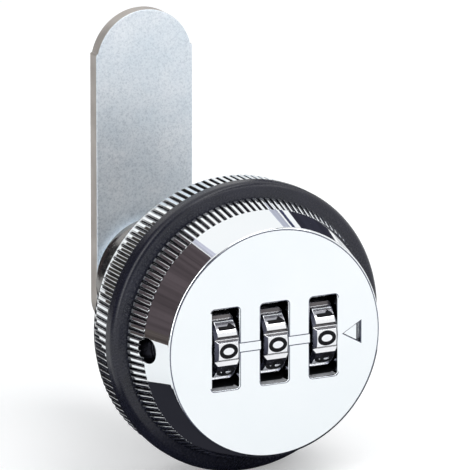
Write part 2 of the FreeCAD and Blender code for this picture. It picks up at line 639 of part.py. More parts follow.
def square_hole():
    """Cutter for the square hole of the pieces on the spindle's end."""
    half = SPINDLE_SQUARE / 2 + RUN
    return box(-half, half, BARREL_LENGTH - PAST, CAM_REAR_Y + PAST, -half, half)


def stop_washer():
    """Washer that turns with the spindle: its lug meets the ends of the barrel's gap."""
    disc = rod_y(STOP_WASHER_R, STOP_WASHER_Y, CAM_Y)
    lug_y = BARREL_LENGTH - STOP_LUG_LENGTH
    root_y = (STOP_WASHER_Y + CAM_Y) / 2
    lug = rod_y(STOP_WASHER_R, lug_y, root_y).cut(rod_y(STOP_LUG_R0, lug_y - PAST, root_y + PAST))
    lug = lug.common(sector_y(-STOP_LUG_HALF_ANGLE, STOP_LUG_HALF_ANGLE, BARREL_R, lug_y, root_y))
    return one_solid(disc.fuse(lug).cut(square_hole()))


def cam_plate():
    """Flat cam: long arm with a punched round tip and its small shoulders, and a heel with round corners."""
    half = CAM_WIDTH / 2
    neck = half - CAM_SHOULDER
    tip_r = half - CAM_TIP_INSET
    shoulder_z = CAM_TIP_Z - tip_r + math.sqrt(tip_r ** 2 - neck ** 2)
    heel_z = -CAM_HEEL_Z + CAM_CORNER_R
    inner_x = half - CAM_CORNER_R
    cos45 = math.sqrt(0.5)
    y = CAM_Y
    corner_x = inner_x + CAM_CORNER_R * cos45
    corner_z = heel_z - CAM_CORNER_R * cos45
    edges = [
        Part.LineSegment(V(half, y, heel_z), V(half, y, shoulder_z)).toShape(),
        Part.LineSegment(V(half, y, shoulder_z), V(neck, y, shoulder_z)).toShape(),
        Part.Arc(V(neck, y, shoulder_z), V(0, y, CAM_TIP_Z), V(-neck, y, shoulder_z)).toShape(),
        Part.LineSegment(V(-neck, y, shoulder_z), V(-half, y, shoulder_z)).toShape(),
        Part.LineSegment(V(-half, y, shoulder_z), V(-half, y, heel_z)).toShape(),
        Part.Arc(V(-half, y, heel_z), V(-corner_x, y, corner_z), V(-inner_x, y, -CAM_HEEL_Z)).toShape(),
        Part.LineSegment(V(-inner_x, y, -CAM_HEEL_Z), V(inner_x, y, -CAM_HEEL_Z)).toShape(),
        Part.Arc(V(inner_x, y, -CAM_HEEL_Z), V(corner_x, y, corner_z), V(half, y, heel_z)).toShape(),
    ]
    blank = Part.Face(Part.Wire(edges)).extrude(V(0, CAM_THICK, 0))
    return one_solid(blank.cut(square_hole()))


def lock_washer():
    """Split spring washer, pressed flat under the cam screw."""
    ring = rod_y(LOCK_WASHER_R, CAM_REAR_Y, SCREW_SEAT_Y)
    bore = rod_y(CAM_SCREW_R + 2 * RUN, CAM_REAR_Y - PAST, SCREW_SEAT_Y + PAST)
    slit = box(0.0, LOCK_WASHER_R + PAST, CAM_REAR_Y - PAST, SCREW_SEAT_Y + PAST,
               -LOCK_WASHER_SLIT / 2, LOCK_WASHER_SLIT / 2)
    return one_solid(ring.cut([bore, slit]))


def cam_screw():
    """Hexagon screw in the end of the spindle."""
    shank = rod_y(CAM_SCREW_R, SCREW_SEAT_Y - CAM_SCREW_LENGTH, SCREW_SEAT_Y)
    corner_r = CAM_SCREW_FLATS / math.sqrt(3)
    angles = [math.pi / 3 * side for side in range(6)]
    head_y = SCREW_SEAT_Y + CAM_SCREW_HEAD
    head = prism_y([(corner_r * math.cos(angle), corner_r * math.sin(angle)) for angle in angles],
                   SCREW_SEAT_Y, head_y)
    crown_r = CAM_SCREW_FLATS / 2 - EDGE_GAP
    crown = cone_y(crown_r + CAM_SCREW_CROWN * CAM_SCREW_HEAD, crown_r, SCREW_SEAT_Y, head_y)
    return one_solid(head.common(crown).fuse(shank))


def build():
    """Every node by name."""
    nodes = {
        "knob_shell": knob_shell(),
        "wheel_carrier": wheel_carrier(),
        "dial_axle": dial_axle(),
        "detent_spring": detent_spring(),
        "spindle": spindle(),
        "plate_screws": plate_screws(),
        "locking_plate": locking_plate(),
        "lock_spring": lock_spring(),
        "reset_button": reset_button(),
        "reset_spring": reset_spring(),
        "rubber_gasket": rubber_gasket(),
        "threaded_barrel": threaded_barrel(),
        "ring_nut": ring_nut(),
        "stop_washer": stop_washer(),
        "cam_plate": cam_plate(),
        "lock_washer": lock_washer(),
        "cam_screw": cam_screw(),
    }
    for number, x in enumerate(DIAL_XS, start=1):
        nodes["dial_wheel_%d" % number] = dial_wheel(x)
        nodes["code_sleeve_%d" % number] = code_sleeve(x)
    return nodes


os.makedirs("parts", exist_ok=True)
for name, shape in build().items():
    shape.exportStep("parts/%s.step" % name)
    print(name, len(shape.Solids), round(shape.Volume, 2), shape.isValid())
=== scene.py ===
import json
import math

import bmesh
import bpy
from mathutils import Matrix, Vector

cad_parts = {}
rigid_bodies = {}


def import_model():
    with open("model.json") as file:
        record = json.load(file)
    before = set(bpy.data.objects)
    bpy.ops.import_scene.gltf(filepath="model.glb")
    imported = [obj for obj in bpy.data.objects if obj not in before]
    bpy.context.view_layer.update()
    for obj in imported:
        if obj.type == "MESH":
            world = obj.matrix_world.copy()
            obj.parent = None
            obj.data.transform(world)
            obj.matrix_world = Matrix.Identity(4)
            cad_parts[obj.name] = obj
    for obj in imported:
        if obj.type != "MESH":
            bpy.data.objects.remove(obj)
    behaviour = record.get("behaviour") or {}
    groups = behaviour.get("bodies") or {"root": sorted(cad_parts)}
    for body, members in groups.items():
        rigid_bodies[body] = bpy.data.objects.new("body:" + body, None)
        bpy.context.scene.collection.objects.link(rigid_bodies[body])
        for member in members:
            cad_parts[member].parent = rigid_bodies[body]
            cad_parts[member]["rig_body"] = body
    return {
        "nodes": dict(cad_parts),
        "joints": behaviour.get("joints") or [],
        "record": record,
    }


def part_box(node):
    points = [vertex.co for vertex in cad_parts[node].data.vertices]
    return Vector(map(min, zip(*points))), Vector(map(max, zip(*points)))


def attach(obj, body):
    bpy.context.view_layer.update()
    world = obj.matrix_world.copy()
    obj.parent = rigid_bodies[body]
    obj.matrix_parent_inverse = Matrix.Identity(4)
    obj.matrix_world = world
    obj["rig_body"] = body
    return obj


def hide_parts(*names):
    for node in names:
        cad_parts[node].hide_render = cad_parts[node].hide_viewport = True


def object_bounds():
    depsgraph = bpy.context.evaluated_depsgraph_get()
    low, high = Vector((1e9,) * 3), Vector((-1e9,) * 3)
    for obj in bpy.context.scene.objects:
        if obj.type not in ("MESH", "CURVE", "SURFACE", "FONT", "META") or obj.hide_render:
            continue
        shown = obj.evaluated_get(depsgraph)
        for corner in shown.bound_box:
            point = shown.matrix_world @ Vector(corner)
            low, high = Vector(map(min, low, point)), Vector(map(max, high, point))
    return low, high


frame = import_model()
cad_low, cad_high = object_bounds()

MM = 0.001

# The photograph's view: azimuth and elevation in degrees, distances in metres
VIEW_AZIMUTH = 26.63
VIEW_ELEVATION = 15.17
VIEW_DISTANCE = 1.5
VIEW_WIDTH = 71.59 * MM
VIEW_SHIFT_RIGHT = -6.07 * MM
VIEW_SHIFT_UP = 16.45 * MM
SENSOR = 36.0

# The knob, as its solid is made
FACE_R = 18.0 * MM
FACE_EDGE_R = 0.45 * MM
FACE_WALL = 1.7 * MM
GRIP_REAR_R = 20.7 * MM
GRIP_LENGTH = 3.8 * MM
CAVITY_R = 16.6 * MM
RESET_HOLE_R = 2.0 * MM
POINTER_X0 = 11.8 * MM
POINTER_X1 = 14.7 * MM
POINTER_DEPTH = 0.8 * MM
INDEX_DEPTH = 0.15 * MM

# Reaches, depths and margins that tell the knob's surfaces apart
INDEX_REACH = 0.85 * MM
WINDOW_REACH = 6.4 * MM
RIM_DEPTH = 0.25 * MM
EDGE_DEPTH = 0.1 * MM
EDGE_LINE_DEPTH = 0.06 * MM
RIM_LINE_DEPTH = 0.07 * MM
POINTER_MARGIN = 0.3 * MM
GRIP_CLEAR = 1.5 * MM
HOLE_CLEAR = 2.0 * MM

# Rounding of the sharp edges, and its share by kind of edge
KNOB_EDGE = 0.30 * MM
WINDOW_SHARE = 0.8
POINTER_SHARE = 0.5
RIB_SHARE = 0.45
PLAIN_SHARE = 0.18
NUT_EDGE = 0.13 * MM
NUT_RIB_BAND = 0.55 * MM
NUT_ROOT_SHARE = 0.3
WHEEL_EDGE = 0.07 * MM
CAM_EDGE = 0.22 * MM

# Edges and seams of the pieces
WELD = 0.001 * MM
NEAR = 0.012 * MM
FLAT_ANGLE = math.radians(0.6)
SMOOTH_ANGLE = math.radians(28)
BEVEL_ANGLE = math.radians(30)
FACET_ANGLE = math.radians(16)
FLANK_ANGLE = math.radians(52)
TURN_STEPS = 240

# Which way faces look, as limits on the parts of their unit normals
LEVEL = 0.995
NEARLY_LEVEL = 0.9
EDGE_TILT_LOW = -0.98
EDGE_TILT_HIGH = -0.80
SIDEWAYS = 0.5
UPRIGHT = 0.3
LEDGE_TILT = 0.6
SHEARED_TILT = 0.35
NOTCH_OUTWARD = 0.3
NOTCH_DOWNWARD = 0.35

# Gasket and barrel
GASKET_EDGE_R = 1.1 * MM
GASKET_EDGE_STEPS = 12
BARREL_R = 9.5 * MM
THREAD_DEPTH = 0.55 * MM
THREAD_PITCH = 1.5 * MM
THREAD_START = 1.0 * MM
THREAD_END = 29.3 * MM
THREAD_STEPS = 60
RUN_OUT_STEPS = 20
THREAD_FOOT = 0.5
THREAD_CREST = 0.1
BARREL_CLEAR = 1.0 * MM
NUT_CLEAR = 2.0 * MM

# Numerals, with the step of their arcs in degrees
DIGIT_HEIGHT = 3.1 * MM
DIGIT_WIDTH = 2.4 * MM
DIGIT_STROKE = 0.64 * MM
DIGIT_RELIEF = 0.012 * MM
DIGIT_ROOT = 0.06 * MM
DIGIT_STEP = 0.3 * MM
ARC_STEP = 12
ARC_LEAST = 4
MITRE_LIMIT = 0.5
SAME_POINT = 1e-6

JOINTS = {joint["name"]: joint for joint in frame["joints"]}
FACE_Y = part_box("knob_shell")[0].y
GRIP_REAR_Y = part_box("knob_shell")[1].y
AXLE_Y = JOINTS["dial_turn_1"]["pos_m"][1]
NUT_LOW, NUT_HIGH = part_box("ring_nut")
NUT_R = (NUT_HIGH.x - NUT_LOW.x) / 2
CONE_SLOPE = (GRIP_REAR_R - FACE_R) / (GRIP_REAR_Y - FACE_Y)


# Materials

def new_material(name):
    """A node material and its shader, ready to be linked."""
    material = bpy.data.materials.new(name)
    material.use_nodes = True
    nodes = material.node_tree.nodes
    return material, nodes, material.node_tree.links, nodes["Principled BSDF"]


def noise(nodes, links, scale, detail=4.0, rough=0.55):
    """Noise over the piece's own coordinates, in metres."""
    place = nodes.new("ShaderNodeTexCoord")
    texture = nodes.new("ShaderNodeTexNoise")
    texture.inputs["Scale"].default_value = scale
    texture.inputs["Detail"].default_value = detail
    texture.inputs["Roughness"].default_value = rough
    links.new(place.outputs["Object"], texture.inputs["Vector"])
    return texture.outputs["Fac"]


def ramp(nodes, links, source, stops):
    """Colour ramp through (position, colour) stops."""
    node = nodes.new("ShaderNodeValToRGB")
    elements = node.color_ramp.elements
    while len(elements) < len(stops):
        elements.new(0.5)
    for element, (position, colour) in zip(elements, stops):
        element.position = position
        element.color = (*colour, 1.0)
    links.new(source, node.inputs["Fac"])
    return node.outputs["Color"]


def spread(nodes, links, source, low, high):
    """Map a noise value from its usual band to low..high."""
    node = nodes.new("ShaderNodeMapRange")
    node.inputs["From Min"].default_value = 0.3
    node.inputs["From Max"].default_value = 0.7
    node.inputs["To Min"].default_value = low
    node.inputs["To Max"].default_value = high
    links.new(source, node.inputs["Value"])
    return node.outputs["Result"]


def bump(nodes, links, source, shader, depth):
    """Fine relief, its depth in metres."""
    node = nodes.new("ShaderNodeBump")
    node.inputs["Strength"].default_value = 1.0
    node.inputs["Distance"].default_value = depth
    links.new(source, node.inputs["Height"])
    links.new(node.outputs["Normal"], shader.inputs["Normal"])


def metal(name, dark, light, rough_low, rough_high, grain, relief, metallic=1.0):
    """Metal whose colour, roughness and fine relief vary over its surface."""
    material, nodes, links, shader = new_material(name)
    shader.inputs["Metallic"].default_value = metallic
    broad = noise(nodes, links, grain / 8)
    fine = noise(nodes, links, grain, 2.0)
    links.new(ramp(nodes, links, broad, [(0.3, dark), (0.7, light)]), shader.inputs["Base Color"])
    links.new(spread(nodes, links, fine, rough_low, rough_high), shader.inputs["Roughness"])
    bump(nodes, links, fine, shader, relief)
    return material


def zinc():
    """Zinc-plated sheet: pale bluish grey with a fine mottle."""
    material, nodes, links, shader = new_material("zinc_plate")
    shader.inputs["Metallic"].default_value = 0.7
    broad = noise(nodes, links, 160, 3.0)
    fine = noise(nodes, links, 3200, 3.0, 0.7)
    base = ramp(nodes, links, broad, [(0.3, (0.80, 0.87, 0.93)), (0.7, (0.92, 0.96, 1.0))])
    speckle = ramp(nodes, links, fine, [(0.32, (0.72, 0.75, 0.78)), (0.52, (0.94, 0.95, 0.96)),
                                        (0.66, (1.0, 1.0, 1.0))])
    mix = nodes.new("ShaderNodeMix")
    mix.data_type = "RGBA"
    mix.blend_type = "MULTIPLY"
    mix.inputs["Factor"].default_value = 1.0
    links.new(base, mix.inputs["A"])
    links.new(speckle, mix.inputs["B"])
    links.new(mix.outputs["Result"], shader.inputs["Base Color"])
    links.new(spread(nodes, links, fine, 0.36, 0.56), shader.inputs["Roughness"])
    bump(nodes, links, fine, shader, 0.025 * MM)
    return material


def rubber():
    """Smooth black rubber with a bluish cast and a soft sheen."""
    material, nodes, links, shader = new_material("gasket_rubber_skin")
    broad = noise(nodes, links, 220, 3.0)
    fine = noise(nodes, links, 2600, 4.0)
    colour = ramp(nodes, links, broad, [(0.3, (0.008, 0.009, 0.017)), (0.7, (0.013, 0.014, 0.026))])
    links.new(colour, shader.inputs["Base Color"])
    links.new(spread(nodes, links, fine, 0.24, 0.30), shader.inputs["Roughness"])
    shader.inputs["Specular IOR Level"].default_value = 0.45
    bump(nodes, links, fine, shader, 0.001 * MM)
    return material


def matte(name, dark, light, rough_low, rough_high, grain, specular=0.5):
    """Paint or plastic with a little variation."""
    material, nodes, links, shader = new_material(name)
    shader.inputs["Specular IOR Level"].default_value = specular
    fine = noise(nodes, links, grain)
    links.new(ramp(nodes, links, fine, [(0.3, dark), (0.7, light)]), shader.inputs["Base Color"])
    links.new(spread(nodes, links, fine, rough_low, rough_high), shader.inputs["Roughness"])
    bump(nodes, links, fine, shader, 0.003 * MM)
    return material


CHROME = metal("chrome_mirror", (0.89, 0.93, 0.95), (0.93, 0.96, 0.98), 0.015, 0.04, 420, 0.0022 * MM)
WHEEL_CHROME = metal("chrome_wheel", (0.84, 0.85, 0.88), (0.92, 0.93, 0.95),
                     0.05, 0.12, 1500, 0.0006 * MM)
# Plated barrel, its colour darkened as painted shade
CASTING_SHADE = metal("plated_casting_painted_shade", (0.24, 0.235, 0.225), (0.36, 0.355, 0.345),
                0.14, 0.30, 1500, 0.004 * MM)
STEEL = metal("bright_steel_skin", (0.52, 0.53, 0.55), (0.68, 0.69, 0.71), 0.22, 0.38, 1400, 0.003 * MM)
BRASS = metal("turned_brass_skin", (0.62, 0.48, 0.24), (0.78, 0.64, 0.36), 0.24, 0.40, 1400, 0.003 * MM)
ZINC = zinc()
RUBBER = rubber()
PLASTIC = matte("carrier_acetal", (0.020, 0.020, 0.022), (0.040, 0.040, 0.044), 0.45, 0.60, 1200)
PAINT = matte("numeral_paint", (0.003, 0.003, 0.005), (0.008, 0.008, 0.010), 0.45, 0.60, 2500,
              specular=0.12)

# Painted light and shade: copies of the metal darkened as painted shade in grooves, recesses, window
# walls, wheel sides and notches, lightened as a painted highlight on a window's lower wall, and the raw
# cut and unpolished ones tinted as painted reflection and shade
# Painted shade in the knurl grooves, the pointer and the reset hole
GROOVE_SHADE = metal("knurl_groove_painted_shade", (0.035, 0.036, 0.045), (0.08, 0.08, 0.10), 0.14, 0.28, 900, 0.001 * MM)
# Painted shade on the window walls
WALL_SHADE = metal("window_wall_painted_shade", (0.20, 0.21, 0.26), (0.32, 0.33, 0.38), 0.10, 0.22, 900, 0.001 * MM)
# Painted highlight: the lower wall of a window made lighter, as it faces the light
LEDGE_HIGHLIGHT = metal("window_ledge_painted_highlight", (0.78, 0.79, 0.82), (0.90, 0.91, 0.94), 0.24, 0.36, 900, 0.001 * MM,
              metallic=0.4)
# Painted shade in the index lines and the pointer and window edges, and a painted dark reflection line
# on the face's rim
ENGRAVED_SHADE = metal("engraved_line_painted_shade", (0.10, 0.11, 0.16), (0.18, 0.19, 0.24), 0.20, 0.36, 1200, 0.001 * MM)
# Raw casting inside the knob and the nut's bore, darkened as painted shade
INSIDE_SHADE = metal("raw_casting_painted_shade", (0.07, 0.07, 0.075), (0.14, 0.14, 0.145), 0.42, 0.62, 900, 0.006 * MM)
# Painted shade on the sides of the wheels
WHEEL_SIDE_SHADE = metal("wheel_side_painted_shade", (0.05, 0.052, 0.075), (0.11, 0.115, 0.15), 0.16, 0.30, 1500, 0.001 * MM)
# Painted shade on the downward flank of each notch
NOTCH_SHADE = metal("wheel_notch_painted_shade", (0.09, 0.085, 0.09), (0.16, 0.15, 0.155), 0.14, 0.26, 1500, 0.001 * MM)
# Raw sheared sides of the cam, tinted brown as a painted reflection of the surroundings
SHEARED_REFLECTION = metal("sheared_edge_painted_reflection", (0.46, 0.42, 0.39), (0.62, 0.58, 0.54), 0.40, 0.62, 1600, 0.02 * MM,
                metallic=0.55)

SLOT_MATERIALS = {
    "plated_knob": CHROME,
    "plated_wheel": WHEEL_CHROME,
    "turned_brass": BRASS,
    "carrier_plastic": PLASTIC,
    "bright_steel": STEEL,
    "gasket_rubber": RUBBER,
    "plated_barrel": CASTING_SHADE,
    "plated_nut": CHROME,
    "zinc_steel": ZINC,
}
NODE_SLOTS = {row["node"]: row["material_slot"] for row in frame["record"]["subparts"]}


def paint_node(node):
    """Give a carried node the material of its slot."""
    mesh = frame["nodes"][node].data
    mesh.materials.clear()
    mesh.materials.append(SLOT_MATERIALS[NODE_SLOTS[node]])


# Pieces

def add_piece(name, work, material, slot, body, stands_for=()):
    """Turn a finished bmesh into a piece that rides on a body."""
    mesh = bpy.data.meshes.new(name)
    work.normal_update()
    work.to_mesh(mesh)
    work.free()
    piece = bpy.data.objects.new(name, mesh)
    bpy.context.scene.collection.objects.link(piece)
    mesh.materials.append(material)
    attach(piece, body)
    if stands_for:
        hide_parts(*stands_for)
    return piece


def mark_smooth(work):
    """Smooth faces, with the edges that turn sharply kept sharp."""
    for face in work.faces:
        face.smooth = True
    for edge in work.edges:
        edge.smooth = edge.is_manifold and edge.calc_face_angle(math.pi) < SMOOTH_ANGLE


def welded(node):
    """A node's own mesh with shared corners and its flat faces whole."""
    work = bmesh.new()
    work.from_mesh(frame["nodes"][node].data)
    bmesh.ops.remove_doubles(work, verts=work.verts, dist=WELD)
    bmesh.ops.dissolve_limit(work, angle_limit=FLAT_ANGLE, verts=work.verts, edges=work.edges)
    return work


def apply_modifiers(piece):
    """Keep the modified mesh and drop the modifiers."""
    graph = bpy.context.evaluated_depsgraph_get()
    graph.update()
    mesh = bpy.data.meshes.new_from_object(piece.evaluated_get(graph))
    piece.modifiers.clear()
    piece.data = mesh


def soften(piece, width, segments, weighted):
    """Round the sharp edges of a piece, all alike or by their weights."""
    modifier = piece.modifiers.new("edges", "BEVEL")
    modifier.width = width
    modifier.segments = segments
    modifier.limit_method = "WEIGHT" if weighted else "ANGLE"
    modifier.angle_limit = BEVEL_ANGLE
    modifier.harden_normals = True
    modifier.use_clamp_overlap = False
    apply_modifiers(piece)


def weigh_edges(work, share):
    """Weight of each sharp edge for its rounding, by share(its middle)."""
    layer = work.edges.layers.float.new("bevel_weight_edge")
    for edge in work.edges:
        if edge.is_manifold and edge.calc_face_angle(math.pi) > BEVEL_ANGLE:
            edge[layer] = share((edge.verts[0].co + edge.verts[1].co) / 2)


def skin(node, work):
    """Turn a finished bmesh into the piece that stands for a node."""
    slot = NODE_SLOTS[node]
    body = frame["nodes"][node]["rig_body"]
    return add_piece(node + "_skin", work, SLOT_MATERIALS[slot], slot, body, (node,))


def dressed(node, width, segments=2, share=None):
    """A piece that stands for a node, with the same shape and rounded edges."""
    work = welded(node)
    mark_smooth(work)
    if share is not None:
        weigh_edges(work, share)
    piece = skin(node, work)
    soften(piece, width, segments, share is not None)
    return piece


def retint(piece, rules):
    """Give faces another material: the first rule (material, test(centre, normal)) that holds wins."""
    mesh = piece.data
    for material, test in rules:
        mesh.materials.append(material)
    for face in mesh.polygons:
        for index, (material, test) in enumerate(rules, start=1):
            if test(face.center, face.normal):
                face.material_index = index
                break


def true_normals(piece, surface):
    """Shade the facets of a curved surface by its true normal, surface(point), where it has one."""
    mesh = piece.data
    normals = [Vector(corner.vector) for corner in mesh.corner_normals]
    for face in mesh.polygons:
        for loop in face.loop_indices:
            normal = surface(mesh.vertices[mesh.loops[loop].vertex_index].co)
            if normal is not None and normal.angle(face.normal) < FACET_ANGLE:
                normals[loop] = normal
    mesh.normals_split_custom_set(normals)


def outward(point):
    """Unit vector away from the lock axis."""
    return Vector((point.x, 0.0, point.z)).normalized()


def lock_radius(point):
    """Distance from the lock axis."""
    return math.hypot(point.x, point.z)


def cone_radius(y):
    """Radius of the knob's cone at a station."""
    return FACE_R + CONE_SLOPE * (y - FACE_Y)


def turned(node, profile):
    """Ring turned from a closed (radius, y) profile that stands for a node."""
    work = bmesh.new()
    rings = []
    for step in range(TURN_STEPS):
        angle = 2 * math.pi * step / TURN_STEPS
        rings.append([work.verts.new((radius * math.cos(angle), y, radius * math.sin(angle)))
                      for radius, y in profile])
    for index, ring in enumerate(rings):
        after = rings[(index + 1) % TURN_STEPS]
        for corner in range(len(profile)):
            last = (corner + 1) % len(profile)
            work.faces.new((ring[corner], ring[last], after[last], after[corner]))
    bmesh.ops.recalc_face_normals(work, faces=work.faces)
    mark_smooth(work)
    return skin(node, work)


# Knob

def knob_share(middle):
    """Window rims are rounded most, and the index lines not at all."""
    if middle.y < FACE_Y + INDEX_DEPTH + NEAR:
        if abs(middle.x) < POINTER_X0 and abs(middle.z) < INDEX_REACH:
            return 0.0
        return POINTER_SHARE if middle.x > POINTER_X0 - NEAR else WINDOW_SHARE
    on_tip = lock_radius(middle) > cone_radius(middle.y) - EDGE_DEPTH
    return RIB_SHARE if on_tip and middle.y > GRIP_REAR_Y - GRIP_LENGTH - NEAR else PLAIN_SHARE


def knob_normal(point):
    """True normal on the cone and on its rounded front edge."""
    radius = lock_radius(point)
    if radius < FACE_R - FACE_EDGE_R:
        return None
    edge_r = FACE_R + FACE_EDGE_R * (CONE_SLOPE - math.hypot(1.0, CONE_SLOPE))
    across = radius - edge_r
    along = point.y - FACE_Y - FACE_EDGE_R
    if along < 0.0 and abs(math.hypot(across, along) - FACE_EDGE_R) < NEAR:
        return (outward(point) * across + Vector((0.0, along, 0.0))).normalized()
    if abs(radius - cone_radius(point.y)) < NEAR:
        return (outward(point) - Vector((0.0, CONE_SLOPE, 0.0))).normalized()
    return None


def in_groove(centre, normal):
    """Flank of a rib: a face turned well away from outward."""
    across = Vector((normal.x, 0.0, normal.z))
    return across.length > SIDEWAYS and across.angle(outward(centre)) > FLANK_ANGLE


def on_grip(centre, normal):
    """Flanks of the grip's ribs."""
    outside = lock_radius(centre) > CAVITY_R + GRIP_CLEAR
    return outside and centre.y > GRIP_REAR_Y - GRIP_LENGTH - NEAR and in_groove(centre, normal)


def in_reset_hole(centre, normal):
    """Wall and floor of the reset hole."""
    inside = math.hypot(centre.y - AXLE_Y, centre.z) < RESET_HOLE_R + NEAR
    sunk = lock_radius(centre) < cone_radius(centre.y) - EDGE_DEPTH
    return inside and sunk and centre.x < HOLE_CLEAR - CAVITY_R


def on_pointer(centre, normal):
    """Walls of the pointer."""
    within = POINTER_X0 - NEAR < centre.x < POINTER_X1 + NEAR and lock_radius(centre) < CAVITY_R
    return within and centre.y < FACE_Y + POINTER_DEPTH and abs(normal.y) < UPRIGHT


def in_engraving(centre, normal):
    """Index lines, and the edges of the pointer and the windows next to the face."""
    on_face = normal.y < -LEVEL and centre.y < FACE_Y + NEAR / 4
    if on_face or lock_radius(centre) > CAVITY_R:
        return False
    if centre.x > POINTER_X0 - POINTER_MARGIN:
        return centre.y < FACE_Y + EDGE_DEPTH
    in_index = abs(centre.z) < INDEX_REACH and centre.y < FACE_Y + INDEX_DEPTH + NEAR
    if in_index and abs(normal.y) > NEARLY_LEVEL:
        return True
    return centre.y < FACE_Y + EDGE_LINE_DEPTH and EDGE_TILT_LOW < normal.y < EDGE_TILT_HIGH


def in_window(centre, normal):
    """Walls of the windows."""
    within = abs(centre.z) < WINDOW_REACH and abs(centre.x) < POINTER_X0
    return within and FACE_Y + RIM_DEPTH < centre.y < FACE_Y + FACE_WALL and abs(normal.y) < SIDEWAYS


def on_ledge(centre, normal):
    """Lower end wall of a window."""
    return in_window(centre, normal) and normal.z > LEDGE_TILT


def in_cavity(centre, normal):
    """Everything behind the face."""
    return centre.y > FACE_Y + FACE_WALL - NEAR and lock_radius(centre) < CAVITY_R + NEAR


def on_rim(centre, normal):
    """First facet of the rounded edge round the face, where a dark reflection line is painted."""
    at_edge = centre.y < FACE_Y + RIM_LINE_DEPTH and lock_radius(centre) > FACE_R - FACE_EDGE_R
    return at_edge and EDGE_TILT_LOW < normal.y < EDGE_TILT_HIGH


def make_knob():
    """Plated knob with a true cone, soft edges and painted shade in its recesses."""
    knob = dressed("knob_shell", KNOB_EDGE, segments=3, share=knob_share)
    true_normals(knob, knob_normal)
    # Painted shade in grooves, hole, pointer, engraving, window walls and cavity, a painted highlight on
    # each window's lower wall, and a painted dark line on the rim
    retint(knob, [(GROOVE_SHADE, on_grip), (GROOVE_SHADE, in_reset_hole), (GROOVE_SHADE, on_pointer),
                  (ENGRAVED_SHADE, in_engraving), (LEDGE_HIGHLIGHT, on_ledge), (WALL_SHADE, in_window),
                  (INSIDE_SHADE, in_cavity), (ENGRAVED_SHADE, on_rim)])


# Gasket, ring nut, barrel and cam

def make_gasket():
    """Rubber ring with a smoothly rounded front edge."""
    low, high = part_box("rubber_gasket")
    radius = (high.x - low.x) / 2
    bore = min(lock_radius(vertex.co) for vertex in frame["nodes"]["rubber_gasket"].data.vertices)
    profile = [(bore, high.y), (bore, low.y)]
    for step in range(GASKET_EDGE_STEPS + 1):
        angle = math.radians(90.0 - 90.0 * step / GASKET_EDGE_STEPS)
        inset = GASKET_EDGE_R * (1.0 - math.cos(angle))
        profile.append((radius - inset, low.y + GASKET_EDGE_R * (1.0 - math.sin(angle))))
    turned("rubber_gasket", profile + [(radius, high.y)])


def nut_share(middle):
    """The ribs' outer edges are rounded most."""
    return 1.0 if lock_radius(middle) > NUT_R - NUT_RIB_BAND else NUT_ROOT_SHARE


def on_nut_rib(centre, normal):
    """Flanks of the nut's ribs."""
    return lock_radius(centre) > BARREL_R + NUT_CLEAR and in_groove(centre, normal)


def in_nut_bore(centre, normal):
    """Bore of the nut and its edges."""
    return lock_radius(centre) < BARREL_R + BARREL_CLEAR


def make_nut():
    """Ring nut with rounded ribs and painted shade in its grooves and bore."""
    nut = dressed("ring_nut", NUT_EDGE, share=nut_share)
    retint(nut, [(GROOVE_SHADE, on_nut_rib), (INSIDE_SHADE, in_nut_bore)])


def make_barrel():
    """Barrel with its shank turned down for the thread."""
    work = welded("threaded_barrel")
    for station in (THREAD_END, THREAD_END + THREAD_DEPTH / 2):
        geometry = list(work.verts) + list(work.edges) + list(work.faces)
        bmesh.ops.bisect_plane(work, geom=geometry, plane_co=(0.0, station, 0.0),
                               plane_no=(0.0, 1.0, 0.0))
    for vertex in work.verts:
        if abs(lock_radius(vertex.co) - BARREL_R) < NEAR and vertex.co.y < THREAD_END + NEAR:
            away = outward(vertex.co) * (BARREL_R - THREAD_DEPTH)
            vertex.co = (away.x, vertex.co.y, away.z)
    mark_smooth(work)
    skin("threaded_barrel", work)


def make_thread():
    """Thread of the barrel: one ridge that runs out at both ends."""
    work = bmesh.new()
    turns = (THREAD_END - THREAD_START) / THREAD_PITCH - 1.0
    count = int(turns * THREAD_STEPS)
    root = BARREL_R - THREAD_DEPTH
    sections = []
    for step in range(count + 1):
        angle = 2 * math.pi * step / THREAD_STEPS
        middle = THREAD_START + THREAD_PITCH * (0.5 + step / THREAD_STEPS)
        height = THREAD_DEPTH * min(1.0, step / RUN_OUT_STEPS, (count - step) / RUN_OUT_STEPS)
        corners = []
        foot, crest = THREAD_FOOT, THREAD_CREST
        for share, lift in ((-foot, 0.0), (-crest, height), (crest, height), (foot, 0.0)):
            radius = root + lift
            corners.append(work.verts.new((radius * math.cos(angle), middle + share * THREAD_PITCH,
                                           radius * math.sin(angle))))
        sections.append(corners)
    for here, after in zip(sections[:-1], sections[1:]):
        for corner in range(3):
            work.faces.new((here[corner], after[corner], after[corner + 1], here[corner + 1]))
    bmesh.ops.recalc_face_normals(work, faces=work.faces)
    mark_smooth(work)
    # The thread takes the barrel's plating, darkened as painted shade
    add_piece("barrel_thread", work, CASTING_SHADE, "plated_barrel", "barrel")


def on_sheared_side(centre, normal):
    """Cut sides of the cam."""
    return abs(normal.y) < SHEARED_TILT


def make_cam():
    """Cam with rounded edges and plain sheared sides, tinted brown as a painted reflection."""
    cam = dressed("cam_plate", CAM_EDGE, segments=3)
    retint(cam, [(SHEARED_REFLECTION, on_sheared_side)])


# Numerals

def arc(centre_x, centre_y, radius_x, radius_y, angle0, angle1):
    """Points of an elliptical arc, its angles in degrees."""
    steps = max(ARC_LEAST, int(abs(angle1 - angle0) / ARC_STEP))
    points = []
    for step in range(steps + 1):
        angle = math.radians(angle0 + (angle1 - angle0) * step / steps)
        points.append((centre_x + radius_x * math.cos(angle), centre_y + radius_y * math.sin(angle)))
    return points


